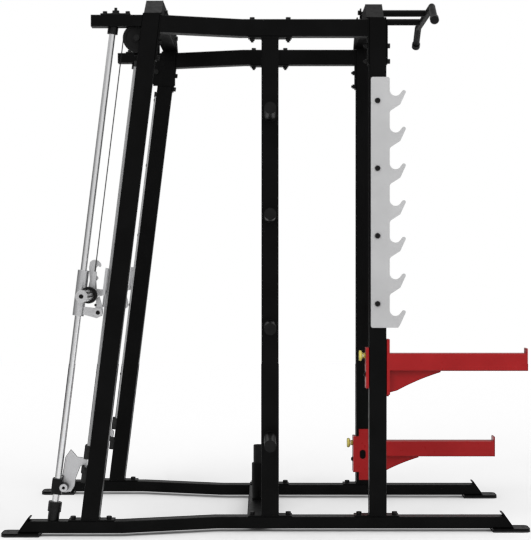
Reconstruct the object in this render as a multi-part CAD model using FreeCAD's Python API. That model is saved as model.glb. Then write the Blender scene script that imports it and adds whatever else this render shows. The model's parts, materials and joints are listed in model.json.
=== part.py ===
"""Smith machine with a half rack, as separate parts in one frame (millimetres, +Z up).

+X runs along the machine's depth, from the guide rods to the half rack, and +Y across it, along the
bar. Left parts are on the -Y side and right parts on the +Y side. The origin is on the floor, under
the middle of the machine. Everything on the Smith side leans by the same angle, so those parts are
drawn upright in a frame whose x is the distance behind the guide rod's axis and whose z is the height
along it, and lean() then puts them in place.
"""
import FreeCAD, Part
import math
import os

V = FreeCAD.Vector
UP = V(0, 0, 1)
ACROSS = V(0, 1, 0)
ALONG = V(1, 0, 0)

# Overall layout
SMITH_Y = 685.0            # from the middle to the plane of the guide rods and leaning uprights
RACK_Y = 550.0             # from the middle to the plane of the middle and rack uprights
LEAN = 6.95                # lean of the Smith side from the vertical, in degrees
ROD_FOOT_X = -933.4        # where the guide rod's axis meets the floor
SIN_LEAN = math.sin(math.radians(LEAN))
COS_LEAN = math.cos(math.radians(LEAN))

# Steel tube
TUBE = 75.0                # side of the square tube
WALL = 3.0
TUBE_R = 5.0               # outer corner radius of the tubes
FLAT = 50.0                # height of the flat tubes in the base and the rod arms
HALF = TUBE / 2

# Base
PAD_T = 6.0                # rubber pad under each foot
FOOT_T = 9.0               # steel foot plate
BASE_Z = PAD_T + FOOT_T    # underside of the base tubes
BASE_TOP = BASE_Z + FLAT
FOOT_OUT = 1143.0          # tip of each foot plate
FOOT_IN = 981.0
FOOT_W = 110.0
FOOT_HOLE_R = 7.0
FOOT_HOLE_IN = 24.0        # anchor hole, in from the tip
CAP_T = 6.0                # slanted plate that closes a base tube's end
CAP_FOOT_X = 1075.0
CAP_HEAD_X = 1028.0
CAP_TOP = 81.0
BEND_SMITH_X = -629.0      # the base turns inward here
BEND_RACK_X = -228.0       # and runs straight again from here
CROSS_X0, CROSS_X1 = -90.0, 3.0
FLANGE_T = 6.0

# Uprights
UPRIGHT_TOP = 2246.0
SMITH_FRONT = 121.5        # from the rod's axis to the leaning upright's front face
SMITH_MID = SMITH_FRONT + HALF
SMITH_ARCH_X = -494.5      # middle of the tube across the tops of the leaning uprights
RACK_ARCH_X = 468.5        # and of the one across the rack uprights, a little to their rear
MID_X = 9.0
RACK_X = 480.0
RAIL_Z0 = 2163.0           # top side rails
RAIL_TOP = RAIL_Z0 + TUBE
RAIL_BEND_X = -118.0
RAIL_START_X = -467.5      # where a rail's middle line meets the leaning upright
PLATE_LOW = 2043.0         # lower edge of the rail's end plates
RAIL_BOLTS_Z = (2125.0, 2057.0)
SMITH_FLANGE = (-857.0, -660.0)
SMITH_FLANGE_BOLTS = (-839.0, -684.0)
MID_FLANGE = (-87.0, 105.0)
MID_FLANGE_BOLTS = (-69.0, 89.0)
RACK_FLANGE = (378.0, 572.0)
RACK_FLANGE_BOLTS = (399.0, 555.0)
PIN_HOLE_R = 6.5
PIN_PITCH = 70.8
PIN_FIRST_Z = 271.5
PIN_HOLES = 16

# Arches over the uprights
ARCH_TOP = UPRIGHT_TOP + TUBE
SMITH_SLOPE, RACK_SLOPE = 155.0, 127.5     # length of each arch's sloped ends
ARCH_BOLT_Y, ARCH_BOLT_Z = 450.0, 2285.0

# Guide rods
ROD_R = 13.5
ROD_H = (68.5, 2246.0)
ARM_Z0 = 2188.0
ARM_TOP = ARM_Z0 + FLAT
ARM_TIP_X = -760.0
ROD_CAP_X = (-720.0, -591.0)

# Counterbalance
PULLEY_P, PULLEY_H = 106.6, 2169.8
PULLEY_R = 60.0
CABLE_R = 2.25
CABLE_TURN_R = 57.0        # from the pulley's axis to the cable's middle
PULLEY_T = 22.0
CABLE_P = PULLEY_P - CABLE_TURN_R
WEIGHT_P = PULLEY_P + CABLE_TURN_R
WEIGHT_MID_P = SMITH_MID
WEIGHT_SIDE = 64.0
WEIGHT_TOP, WEIGHT_LENGTH = 1480.0, 392.0
ANCHOR_L = 20.0            # cable socket on top of each counterweight

# Catch strip and the plane of the hooks that swing into it
STRIP_T = 5.0
STRIP_W = 50.0
STRIP_LIP = 12.0           # the strip's outer edge turns forward by this much
STRIP_H = (403.0, 2046.5)
STRIP_BOLTS = (2030.0, 1695.0, 1338.0, 981.0, 627.0)
STRIP_BOLT_Y = SMITH_Y - 8.0
CATCH_PITCH = 68.0
CATCH_FIRST = 478.0
CATCHES = 23
CATCH_HEIGHT = 42.0
CATCH_W = 12.0
SHOE_P = (95.0, 107.0)     # guide shoe of each carriage
HOOK_Y = SMITH_Y - 28.5    # middle of the hook plates
HOOK_T = 8.0

# Bar and carriages
BAR_P, BAR_H = 43.0, 1049.0
BAR_R = 14.0
BAR_HALF = 1070.5
BAR_END_T = 6.0
COLLAR_Y = (752.0, 780.0)
COLLAR_R = 36.0
WEIGHT_R = 25.0
SLEEVE_H = (953.0, 1150.5)
SLEEVE_R = 24.3
BUSH_R = 18.0
LUG_TOP = 1150.5           # where each cable is held on its carriage
BUSH_L = 50.0
HUB_P, HUB_H, HUB_R = 85.7, 977.6, 19.5
RUN = 0.05                 # radial clearance of a running fit

# Safety stops
STOP_P, STOP_H = 30.0, 212.2
STOP_BLOCK_P, STOP_BLOCK_Y = 43.0, 46.0
STOP_BLOCK_H = (180.0, 246.8)
STOP_PIN_R = 9.0
STOP_BOSS_R = 18.0

# Half rack fittings
HOOK_PLATE_T = 10.0
HOOK_PLATE_X = (449.0, 531.0)
HOOK_PLATE_Z = (890.5, 1984.0)
CUPS = 7
CUP_TOP_Z = 1902.0         # bottom of the highest cup
CUP_PITCH = 160.0
CUP_X, CUP_R = 556.0, 25.0
CUP_BOLT_X = 478.0
CUP_BOLTS_Z = (1881.0, 1586.0, 1291.5, 995.0)
HORN_Z = (1816.0, 1376.0, 899.0, 413.0)
HORN_R = 25.0
HORN_L = 378.5
HORN_RING_R, HORN_RING_T = 28.5, 8.0
HORN_SEAT_R = 26.0            # weld collar that carries the ring

# Spotter arms
PIN_DROP = 10.5            # pop-pin's axis below the arm's top
LEFT_HOLE, RIGHT_HOLE = 7, 0
SPOTTER_X0, SPOTTER_X1 = 532.0, 1128.5
LIP_T, LIP_RISE = 6.0, 22.0
GUSSET_T = 10.0
SADDLE_FRONT = (519.5, 532.0)
SADDLE_REAR = (428.0, 440.5)
SADDLE_STEP_X = 456.0      # the side plate is taller in front of this
SADDLE_GAP = 2.0
SADDLE_T = 6.0
WINDOW_W, WINDOW_H = 30.0, 46.0
PIN_R = 6.0
PIN_TIP_X = 441.5
BARREL_X = 418.0
BARREL_R = 11.5
KNOB_X = 399.0
KNOB_R = 22.5

# Pull-up bar
PULL_X, PULL_Z = 737.5, 2325.0
PULL_R = 16.0
PULL_STRAIGHT = 350.0
PULL_END_Y, PULL_END_Z = 479.0, 2249.0
PULL_ARM_Y, PULL_ARM_Z, PULL_ARM_R = 147.0, 2324.5, 15.5
PULL_PLATE_Z = (2260.0, 2345.0)
PULL_STUD_Z = 2327.5       # the arm's stud passes just over the arch

# Bar holder on the floor tube
HOLDER_X = (CROSS_X0 + CROSS_X1) / 2
HOLDER_OUTER_R, HOLDER_OUTER_TOP = 30.0, 234.0
HOLDER_INNER_R, HOLDER_INNER_TOP = 22.5, 318.0
HOLDER_BORE_R = 19.0

# Fasteners
BOLT_R = 6.0
HEAD_FLATS, HEAD_T = 19.0, 10.0
NUT_T = 9.0
THREAD_END = 6.0           # the thread shows this far beyond a nut
WASHER_R, WASHER_T = 12.0, 2.0


def block(x0, x1, y0, y1, z0, z1):
    return Part.makeBox(x1 - x0, y1 - y0, z1 - z0, V(x0, y0, z0))


def cylinder(start, direction, radius, length):
    return Part.makeCylinder(radius, length, start, direction)


def ring(start, direction, radius, bore, length):
    return cylinder(start, direction, radius, length).cut(cylinder(start, direction, bore, length))


def side_plate(outline, y0, y1):
    """A flat plate whose outline is drawn in x and z, between two values of y."""
    points = [V(x, y0, z) for x, z in outline]
    return Part.Face(Part.makePolygon(points + points[:1])).extrude(V(0, y1 - y0, 0))


def rounded_bar(start, end, width, height, radius, up=UP):
    """A bar of rounded rectangular section: width across, height along up."""
    along = end - start
    length = along.Length
    along.normalize()
    side = up.cross(along)
    bar = Part.makeBox(length, width, height, V(0, -width / 2, -height / 2))
    long_edges = [e for e in bar.Edges if abs(e.tangentAt(e.FirstParameter).x) > 0.99]
    bar = bar.makeFillet(radius, long_edges)
    axes = FreeCAD.Matrix(
        along.x, side.x, up.x, start.x,
        along.y, side.y, up.y, start.y,
        along.z, side.z, up.z, start.z,
        0, 0, 0, 1)
    bar.Placement = FreeCAD.Placement(axes)
    return bar


def tube(start, end, width, height, up=UP):
    """A hollow tube, open at both ends."""
    outer = rounded_bar(start, end, width, height, TUBE_R, up)
    inner = rounded_bar(start, end, width - 2 * WALL, height - 2 * WALL, TUBE_R - WALL, up)
    return outer.cut(inner)


def half_space(point, normal, size=3000.0):
    """A large box that fills the side of a plane that the normal points to."""
    return cylinder(point, normal, size, size)


def bent_tube(points, width, height):
    """A hollow tube along points in plan, mitred where it turns."""
    reach = 120.0
    shells = []
    for grow in (0.0, WALL):
        runs = []
        for i in range(len(points) - 1):
            start, end = points[i], points[i + 1]
            along = (end - start).normalize()
            first = start - along * (reach if i > 0 else 0)
            last = end + along * (reach if i < len(points) - 2 else 0)
            run = rounded_bar(first, last, width - 2 * grow, height - 2 * grow, TUBE_R - grow)
            if i > 0:
                before = (start - points[i - 1]).normalize()
                run = run.cut(half_space(start, (before + along) * -1))
            if i < len(points) - 2:
                after = (points[i + 2] - end).normalize()
                run = run.cut(half_space(end, after + along))
            runs.append(run)
        shells.append(runs[0].fuse(runs[1:]).removeSplitter())
    return shells[0].cut(shells[1])


def lean(shape):
    """Takes a part from the rod's own frame to the machine's."""
    copy = shape.copy()
    copy.rotate(V(0, 0, 0), ACROSS, LEAN)
    copy.translate(V(ROD_FOOT_X, 0, 0))
    return copy


def mirrored(shape):
    return shape.mirror(V(0, 0, 0), ACROSS)


def both_sides(shapes):
    """A left part or list of parts, and its mirror images on the right."""
    shapes = shapes if isinstance(shapes, list) else [shapes]
    return shapes + [mirrored(s) for s in shapes]


def hexagon(start, direction, flats, height):
    """A hexagonal prism along X, Y or Z."""
    across_corners = flats / math.cos(math.pi / 6) / 2
    side = UP if abs(direction.z) < 0.9 else ALONG
    other = direction.cross(side)
    corners = []
    for i in range(6):
        angle = math.pi / 3 * i
        corners.append(start + side * (across_corners * math.cos(angle))
                       + other * (across_corners * math.sin(angle)))
    return Part.Face(Part.makePolygon(corners + corners[:1])).extrude(direction * height)


def bolt(face, inward, grip, nut=True):
    """A hexagon bolt with its washer under the head, and a nut and washer on the far side.

    face is the middle of the surface the head stands on, and inward points into the joint.
    """
    out = inward * -1
    body = cylinder(face, out, WASHER_R, WASHER_T)
    body = body.fuse(hexagon(face + out * WASHER_T, out, HEAD_FLATS, HEAD_T))
    beyond = WASHER_T + NUT_T + THREAD_END if nut else 0
    body = body.fuse(cylinder(face, inward, BOLT_R, grip + beyond))
    solids = [body.removeSplitter()]
    if nut:
        far = face + inward * grip
        nut_body = cylinder(far, inward, WASHER_R, WASHER_T)
        nut_body = nut_body.fuse(hexagon(far + inward * WASHER_T, inward, HEAD_FLATS, NUT_T - 0.5))
        solids.append(nut_body.cut(cylinder(far, inward, BOLT_R, 2 * NUT_T)))
    return solids


def button_bolt(face, inward, grip, radius, height):
    """A round-headed bolt that screws into a tube's wall."""
    out = inward * -1
    head = cylinder(face, out, radius, height)
    rim = [e for e in head.Edges if (e.CenterOfMass - face).dot(out) > height - 0.01]
    head = head.makeFillet(height * 0.45, rim[:1])
    head = head.cut(hexagon(face + out * (height * 0.5), out, radius * 0.9, height))
    return head.fuse(cylinder(face, inward, BOLT_R, grip)).removeSplitter()


def drill(point, direction, length, radius=BOLT_R):
    return cylinder(point, direction, radius, length)


def base_parts():
    path = [V(-CAP_FOOT_X - 50, -SMITH_Y, 0), V(BEND_SMITH_X, -SMITH_Y, 0),
            V(BEND_RACK_X, -RACK_Y, 0), V(CAP_FOOT_X + 50, -RACK_Y, 0)]
    path = [p + UP * (BASE_Z + FLAT / 2) for p in path]
    rail = bent_tube(path, TUBE, FLAT)
    slope = math.atan2(CAP_FOOT_X - CAP_HEAD_X, CAP_TOP - BASE_Z)
    caps, feet, pads = [], [], []
    for side, y in ((-1, -SMITH_Y), (1, -RACK_Y)):
        outward = V(side * math.cos(slope), 0, math.sin(slope))
        inner_face = V(side * (CAP_FOOT_X - CAP_T / math.cos(slope)), y, BASE_Z)
        rail = rail.cut(half_space(inner_face, outward))
        along = V(side * (CAP_HEAD_X - CAP_FOOT_X), 0, CAP_TOP - BASE_Z)
        step = V(-side * CAP_T / math.cos(slope), 0, 0)
        foot = V(side * CAP_FOOT_X, y - HALF, BASE_Z)
        corners = [foot, foot + along, foot + along + step, foot + step]
        caps.append(Part.Face(Part.makePolygon(corners + corners[:1])).extrude(ACROSS * TUBE))
        x0, x1 = sorted((side * FOOT_OUT, side * FOOT_IN))
        for z0, thick, group in ((PAD_T, FOOT_T, feet), (0.0, PAD_T, pads)):
            plate = block(x0, x1, y - FOOT_W / 2, y + FOOT_W / 2, z0, z0 + thick)
            corner = [e for e in plate.Edges
                      if abs(e.tangentAt(e.FirstParameter).z) > 0.99
                      and abs(abs(e.CenterOfMass.x) - FOOT_OUT) < 1]
            plate = plate.makeFillet(22.0, corner)
            hole_x = side * (FOOT_OUT - FOOT_HOLE_IN)
            group.append(plate.cut(drill(V(hole_x, y, z0), UP, thick, FOOT_HOLE_R)))
    return rail, caps + feet, pads


def flange(x_range, y, z0):
    return block(x_range[0], x_range[1], y - HALF, y + HALF, z0, z0 + FLANGE_T)


def frame_bolts():
    """Every upright bolt of the left side, with the holes they need in the plates and tubes."""
    bolts, holes = [], []

    def add(face, inward, grip, nut=True):
        bolts.extend(bolt(face, inward, grip, nut))
        holes.append(drill(face, inward, grip))

    down = UP * -1
    flanges = ((SMITH_FLANGE_BOLTS, -SMITH_Y), (MID_FLANGE_BOLTS, -RACK_Y), (RACK_FLANGE_BOLTS, -RACK_Y))
    for bolt_x, y in flanges:
        for x in bolt_x:
            add(V(x, y, BASE_TOP + FLANGE_T), down, FLANGE_T + WALL, nut=False)
    for x in MID_FLANGE_BOLTS:
        add(V(x, -RACK_Y, RAIL_TOP), down, TUBE + FLANGE_T)
    for z in RAIL_BOLTS_Z:
        add(V(RACK_X + HALF + FLANGE_T, -RACK_Y, z), ALONG * -1, TUBE + 2 * FLANGE_T)
    add(V(SMITH_ARCH_X + HALF, -ARCH_BOLT_Y, ARCH_BOLT_Z), ALONG * -1, WALL, nut=False)
    for z in CUP_BOLTS_Z:
        face = V(CUP_BOLT_X, -RACK_Y - HALF - HOOK_PLATE_T, z)
        bolts.append(button_bolt(face, ACROSS, HOOK_PLATE_T + WALL, 12.0, 7.0))
        holes.append(drill(face, ACROSS, HOOK_PLATE_T + WALL))
    return bolts, holes


def leaning_bolts():
    """The left bolts that follow the lean, with their holes."""
    bolts, holes = [], []
    back = SMITH_FRONT + TUBE + FLANGE_T
    for z in RAIL_BOLTS_Z:
        face = V(back, -SMITH_Y, (z + back * SIN_LEAN) / COS_LEAN)
        bolts.extend(bolt(face, ALONG * -1, FLANGE_T + WALL))
        holes.append(drill(face, ALONG * -1, FLANGE_T + WALL))
    for h in STRIP_BOLTS:
        face = V(SMITH_FRONT - STRIP_T, -STRIP_BOLT_Y, h)
        bolts.append(button_bolt(face, ALONG, STRIP_T + WALL, 7.0, 7.0))
        holes.append(drill(face, ALONG, STRIP_T + WALL))
    return [lean(b) for b in bolts], [lean(h) for h in holes]


def smith_upright():
    upright = tube(V(SMITH_MID, -SMITH_Y, 0), V(SMITH_MID, -SMITH_Y, 2400), TUBE, TUBE, ALONG)
    slot_half = PULLEY_R - 4
    slot = block(SMITH_FRONT - 5, SMITH_FRONT + WALL + 2, -SMITH_Y - 15, -SMITH_Y + 15,
                 PULLEY_H - slot_half - 8, PULLEY_H + slot_half + 8)
    upright = lean(upright.cut(slot))
    upright = upright.cut(half_space(V(0, 0, BASE_TOP + FLANGE_T), UP * -1))
    return upright.cut(half_space(V(0, 0, UPRIGHT_TOP), UP))


def smith_envelope():
    """The leaning upright's outer shape, made solid, to trim the parts that meet it."""
    return lean(block(SMITH_FRONT, SMITH_FRONT + TUBE, -SMITH_Y - 60, -SMITH_Y + 60, 0, 2500))


def arch(x, outer_y, slope):
    """A tube across the tops of the uprights, with ends that slope up from its outer corners."""
    bar = tube(V(x, -outer_y, UPRIGHT_TOP + HALF), V(x, outer_y, UPRIGHT_TOP + HALF), TUBE, TUBE)
    end_plates = []
    for side in (-1, 1):
        foot = V(x, side * outer_y, UPRIGHT_TOP)
        rise = V(0, -side * slope, TUBE)
        normal = V(0, side * TUBE, slope).normalize()
        bar = bar.cut(half_space(foot - normal * WALL, normal))
        start = foot - normal * WALL - ALONG * HALF
        corners = [start, start + rise, start + rise + normal * WALL, start + normal * WALL]
        wedge = Part.Face(Part.makePolygon(corners + corners[:1])).extrude(ALONG * TUBE)
        end_plates.append(wedge)
    bar = bar.fuse(end_plates)
    inside = block(x - HALF, x + HALF, -outer_y, outer_y, UPRIGHT_TOP, ARCH_TOP)
    return bar.common(inside).removeSplitter()


def rack_upright():
    upright = tube(V(RACK_X, -RACK_Y, BASE_TOP + FLANGE_T), V(RACK_X, -RACK_Y, UPRIGHT_TOP),
                   TUBE, TUBE, ALONG)
    back = RACK_X - HALF - 1
    holes = [drill(V(back, -RACK_Y, PIN_FIRST_Z + PIN_PITCH * i), ALONG, WALL + 3, PIN_HOLE_R)
             for i in range(PIN_HOLES)]
    return upright.cut(holes)


def mid_upright():
    return tube(V(MID_X, -RACK_Y, BASE_TOP + FLANGE_T), V(MID_X, -RACK_Y, RAIL_Z0 - FLANGE_T),
                TUBE, TUBE, ALONG)


def smith_back_plane():
    """A point on the leaning rail plate's rear face, and the face's normal."""
    point = V(SMITH_FRONT + TUBE + FLANGE_T, -SMITH_Y, 2200)
    normal = V(COS_LEAN, 0, -SIN_LEAN)
    x = ROD_FOOT_X + point.x * COS_LEAN + point.z * SIN_LEAN
    z = point.z * COS_LEAN - point.x * SIN_LEAN
    return V(x, point.y, z), normal


def top_rail():
    mid_z = RAIL_Z0 + HALF
    bend = V(RAIL_BEND_X, -RACK_Y, mid_z)
    upright = V(RAIL_START_X, -SMITH_Y, mid_z)
    path = [bend + (upright - bend) * 1.25, bend, V(RACK_X - HALF - FLANGE_T, -RACK_Y, mid_z)]
    rail = bent_tube(path, TUBE, TUBE)
    point, normal = smith_back_plane()
    return rail.cut(half_space(point, normal * -1))


def joint_plates():
    """The rail's end plates and the backing plate in front of the rack upright."""
    rear = lean(block(SMITH_FRONT + TUBE, SMITH_FRONT + TUBE + FLANGE_T,
                      -SMITH_Y - HALF, -SMITH_Y + HALF, 2000, 2400))
    rear = rear.common(block(-700, 0, -1000, 0, PLATE_LOW, RAIL_TOP))
    plates = [rear]
    for x in (RACK_X - HALF - FLANGE_T, RACK_X + HALF):
        plates.append(block(x, x + FLANGE_T, -RACK_Y - HALF, -RACK_Y + HALF, PLATE_LOW, RAIL_TOP))
    return plates


def cup_edges(start, z, low):
    """The front edge of one cup whose bottom is at z, from the spine above it to the spine below."""
    def at(x, rise):
        return V(x, 0, z + rise)

    spine = HOOK_PLATE_X[1]
    left, lip, brow, tip, knee = at(spine, CUP_R), at(578, 11.6), at(585.5, 21.5), at(600.5, 14), at(577, -37)
    edges = [Part.makeLine(start, left), Part.Arc(left, at(CUP_X, 0), lip).toShape(),
             Part.makeLine(lip, brow), Part.Arc(brow, at(593.5, 25), tip).toShape(),
             Part.makeLine(tip, knee)]
    neck, root = at(543, -59), at(spine, -74)
    if root.z < low:
        end = V(568, 0, low)
        return edges + [Part.makeLine(knee, end)], end
    return edges + [Part.makeLine(knee, neck), Part.Arc(neck, at(535, -65), root).toShape()], root


def gun_rack():
    """A flat plate with a column of open cups along its front edge."""
    x0, x1 = HOOK_PLATE_X
    low, high = HOOK_PLATE_Z
    corner, last = V(x0, 0, low), V(x1, 0, high)
    wire = [Part.makeLine(corner, V(x0, 0, high)), Part.makeLine(V(x0, 0, high), last)]
    for i in range(CUPS):
        edges, last = cup_edges(last, CUP_TOP_Z - CUP_PITCH * i, low)
        wire += edges
    wire.append(Part.makeLine(last, corner))
    plate = Part.Face(Part.Wire(wire)).extrude(ACROSS * -HOOK_PLATE_T)
    square = [e for e in plate.Edges
              if abs(e.tangentAt(e.FirstParameter).y) > 0.99
              and (abs(e.CenterOfMass.x - x0) < 1 or abs(e.CenterOfMass.z - high) < 1)]
    plate = plate.makeFillet(9.0, square)
    plate.translate(V(0, -RACK_Y - HALF, 0))
    return plate


def storage_horns():
    """Plate storage tubes on the middle upright, with a stop ring and an end cap each."""
    horns, caps = [], []
    out = ACROSS * -1
    for z in HORN_Z:
        root = V(MID_X, -RACK_Y - HALF, z)
        tube = ring(root, out, HORN_R, HORN_R - WALL, HORN_L)
        seat = ring(root, out, HORN_SEAT_R, HORN_R - WALL, HORN_RING_T)
        horns.append(tube.fuse(seat).removeSplitter())
        caps.append(ring(root, out, HORN_RING_R, HORN_SEAT_R, HORN_RING_T))
        mouth = root + out * HORN_L
        cap = cylinder(mouth, out, HORN_R, 4.0)
        caps.append(cap.fuse(cylinder(mouth, ACROSS, HORN_R - WALL, 14.0)).removeSplitter())
    return horns, caps


def catch_strip():
    """An angle strip: a flat plate with a row of windows, and a lip along its outer edge."""
    y0 = -SMITH_Y - 12.5
    strip = block(SMITH_FRONT - STRIP_T, SMITH_FRONT, y0, y0 + STRIP_W, STRIP_H[0], STRIP_H[1])
    lip = block(SMITH_FRONT - STRIP_LIP, SMITH_FRONT, y0, y0 + STRIP_T, STRIP_H[0], STRIP_H[1])
    windows = []
    for i in range(CATCHES):
        h = CATCH_FIRST + CATCH_PITCH * i
        windows.append(block(SMITH_FRONT - STRIP_T - 1, SMITH_FRONT + 1,
                             -HOOK_Y - CATCH_W / 2, -HOOK_Y + CATCH_W / 2,
                             h - CATCH_HEIGHT / 2, h + CATCH_HEIGHT / 2))
    return lean(strip.fuse(lip).cut(windows).removeSplitter())


def catch_strip_ends():
    """Black blocks at the strip's ends: a cap on top, and two bumpers with a gap below."""
    y0 = -SMITH_Y - 12.5
    y1 = -SMITH_Y + 21.0
    cap = block(SMITH_FRONT - STRIP_LIP, SMITH_FRONT, y0, y1, STRIP_H[1], STRIP_H[1] + 25)
    upper = block(99.5, SMITH_FRONT, y0, y1, 344, STRIP_H[0])
    lip = [(100.5, 242), (100.5, 280), (95.5, 286), (95.5, 315), (102, 315), (110, 300),
           (SMITH_FRONT, 300), (SMITH_FRONT, 242)]
    lower = side_plate(lip, y0, y1)
    return [lean(s) for s in (cap, upper, lower)]


def guide_rod():
    return lean(cylinder(V(0, -SMITH_Y, ROD_H[0]), UP, ROD_R, ROD_H[1] - ROD_H[0]))


def rod_arm():
    """Flat tube that reaches forward from the upright's top to hold the rod's top end."""
    mid = V(0, -SMITH_Y, ARM_Z0 + FLAT / 2)
    tip = mid + ALONG * ARM_TIP_X
    arm = tube(tip, mid - ALONG * 480, TUBE, FLAT)
    arm = arm.fuse(rounded_bar(tip, tip + ALONG * WALL, TUBE, FLAT, TUBE_R)).removeSplitter()
    slot = block(-645, -500, -SMITH_Y - 15, -SMITH_Y + 15, ARM_Z0 - 1, ARM_Z0 + WALL + 1)
    rod_hole = lean(cylinder(V(0, -SMITH_Y, 2150), UP, ROD_R, 97))
    return arm.cut([smith_envelope(), slot, rod_hole])


def rod_sockets():
    """Collars that hold each rod's two ends, and the bolted plate over its top."""
    y = -SMITH_Y
    low = cylinder(V(0, y, 40), UP, 23.5, 64.8).fuse(cylinder(V(0, y, 104.8), UP, 28.0, 41.3))
    low = lean(low.removeSplitter().cut(cylinder(V(0, y, 0), UP, ROD_R, 300)))
    low = low.cut(half_space(V(0, 0, BASE_TOP), UP * -1))
    high = lean(ring(V(0, y, 2174), UP, 22.5, ROD_R, 60)).cut(half_space(V(0, 0, ARM_Z0), UP))
    cap = block(ROD_CAP_X[0], ROD_CAP_X[1], y - HALF, y + HALF, ARM_TOP, ARM_TOP + FLANGE_T)
    posts = [e for e in cap.Edges if abs(e.tangentAt(e.FirstParameter).z) > 0.99]
    cap = cap.makeFillet(12.0, posts)
    top = ARM_TOP + FLANGE_T
    middle = (ROD_CAP_X[0] + ROD_CAP_X[1]) / 2
    studs = [cylinder(V(middle, y, top), UP, 23.0, 4.0), hexagon(V(middle, y, top + 4), UP, 26.0, 12.0),
             cylinder(V(middle, y, top + 16), UP, 6.5, 12.0)]
    for x in (ROD_CAP_X[0] + 18, ROD_CAP_X[1] - 13):
        studs.append(cylinder(V(x, y, top), UP, 11.0, 2.0))
        studs.append(hexagon(V(x, y, top + 2), UP, 17.0, 11.0))
    return [low, high, cap.fuse(studs).removeSplitter()]


def pulley_bracket():
    plate = block(-579.5, -468.0, -SMITH_Y + HALF, -SMITH_Y + HALF + FLANGE_T, 2070, 2200)
    eye = lean(cylinder(V(PULLEY_P, -700, PULLEY_H), ACROSS, 8.0, 120))
    return plate.cut(eye)


def pulley_axle():
    """A shouldered pin through the bracket, with a head outside and a collar inside the pulley."""
    plate_y = -SMITH_Y + HALF
    half = PULLEY_T / 2 + 0.5
    steps = ((plate_y + FLANGE_T, 10.0, 13.0), (-SMITH_Y + half, HALF - half, 13.0),
             (-SMITH_Y - half, 2 * half, 8.0), (-SMITH_Y - half - 10, 10.0, 13.0))
    pin = cylinder(V(PULLEY_P, plate_y, PULLEY_H), ACROSS, 8.0, FLANGE_T)
    parts = [cylinder(V(PULLEY_P, y, PULLEY_H), ACROSS, r, length) for y, length, r in steps]
    return lean(pin.fuse(parts).removeSplitter())


def pulley():
    """A plain disc with a grooved rim and a raised hub."""
    half, rim, groove = PULLEY_T / 2, PULLEY_R, CABLE_TURN_R - CABLE_R - 0.25
    profile = [(8.0 + RUN, -half), (20, -half), (20, -5), (47, -5), (47, -half), (rim, -half),
               (rim, -7), (groove, -2.5), (groove, 2.5), (rim, 7), (rim, half), (47, half),
               (47, 5), (20, 5), (20, half), (8.0 + RUN, half)]
    points = [V(r, y, 0) for r, y in profile]
    disc = Part.Face(Part.makePolygon(points + points[:1])).revolve(V(0, 0, 0), ACROSS, 360)
    disc.translate(V(PULLEY_P, -SMITH_Y, PULLEY_H))
    return lean(disc)


def cable_wrap():
    """The half turn of cable that lies in the pulley's groove."""
    turn = Part.makeTorus(CABLE_TURN_R, CABLE_R, V(0, 0, 0), ACROSS)
    turn = turn.common(block(-80, 80, -10, 10, 0, 80))
    turn.translate(V(PULLEY_P, -SMITH_Y, PULLEY_H))
    return lean(turn)


def cable_run(p, low):
    return lean(cylinder(V(p, -SMITH_Y, low), UP, CABLE_R, PULLEY_H - low))


def counterweight():
    half = WEIGHT_SIDE / 2
    body = block(WEIGHT_MID_P - half, WEIGHT_MID_P + half, -SMITH_Y - half, -SMITH_Y + half,
                 WEIGHT_TOP - WEIGHT_LENGTH, WEIGHT_TOP)
    body = body.makeChamfer(3.0, body.Edges)
    anchor = cylinder(V(WEIGHT_P, -SMITH_Y, WEIGHT_TOP - 1), UP, 7.0, ANCHOR_L + 1)
    return lean(body.fuse(anchor).removeSplitter())


def carriage():
    """Sleeve on the rod, bar bearing, guide shoe and the plates that join them."""
    y = -SMITH_Y
    sleeve = cylinder(V(0, y, SLEEVE_H[0]), UP, SLEEVE_R, SLEEVE_H[1] - SLEEVE_H[0])
    sleeve = sleeve.makeFillet(1.5, sleeve.Edges[:1] + sleeve.Edges[2:])
    lower = [(8, 962), (28, 960), (82, 952), (104, 966), (104, 995), (8, 995)]
    corner = [(70, 994), (104, 994), (82, 1047), (70, 1040)]
    arm = [(40, 1050), (104, 1055), (104, 1078), (40, 1078)]
    parts = [side_plate(outline, y - 12, y) for outline in (lower, corner, arm)]
    parts.append(block(SHOE_P[0], SHOE_P[1], y - 31, y - 12, 1055, 1172))
    parts.append(cylinder(V(BAR_P, y - 22, BAR_H), ACROSS, 29.0, 44.0))
    parts.append(cylinder(V(HUB_P, y - 30, HUB_H), ACROSS, HUB_R, 30.0))
    parts.append(block(CABLE_P - 8, CABLE_P + 8, y - 7, y + 7, 1074, LUG_TOP))
    bores = [cylinder(V(0, y, 900), UP, BUSH_R, 300),
             cylinder(V(BAR_P, y - 40, BAR_H), ACROSS, BAR_R + RUN, 80),
             cylinder(V(HUB_P, y - 31, HUB_H), ACROSS, 9.5, 6)]
    return lean(sleeve.fuse(parts).cut(bores).removeSplitter())


def linear_bushes():
    starts = (SLEEVE_H[0] + 2, SLEEVE_H[1] - 2 - BUSH_L)
    return [lean(ring(V(0, -SMITH_Y, h), UP, BUSH_R, ROD_R + RUN, BUSH_L)) for h in starts]


def bar_shaft():
    return lean(cylinder(V(BAR_P, -BAR_HALF, BAR_H), ACROSS, BAR_R, 2 * BAR_HALF))


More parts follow.
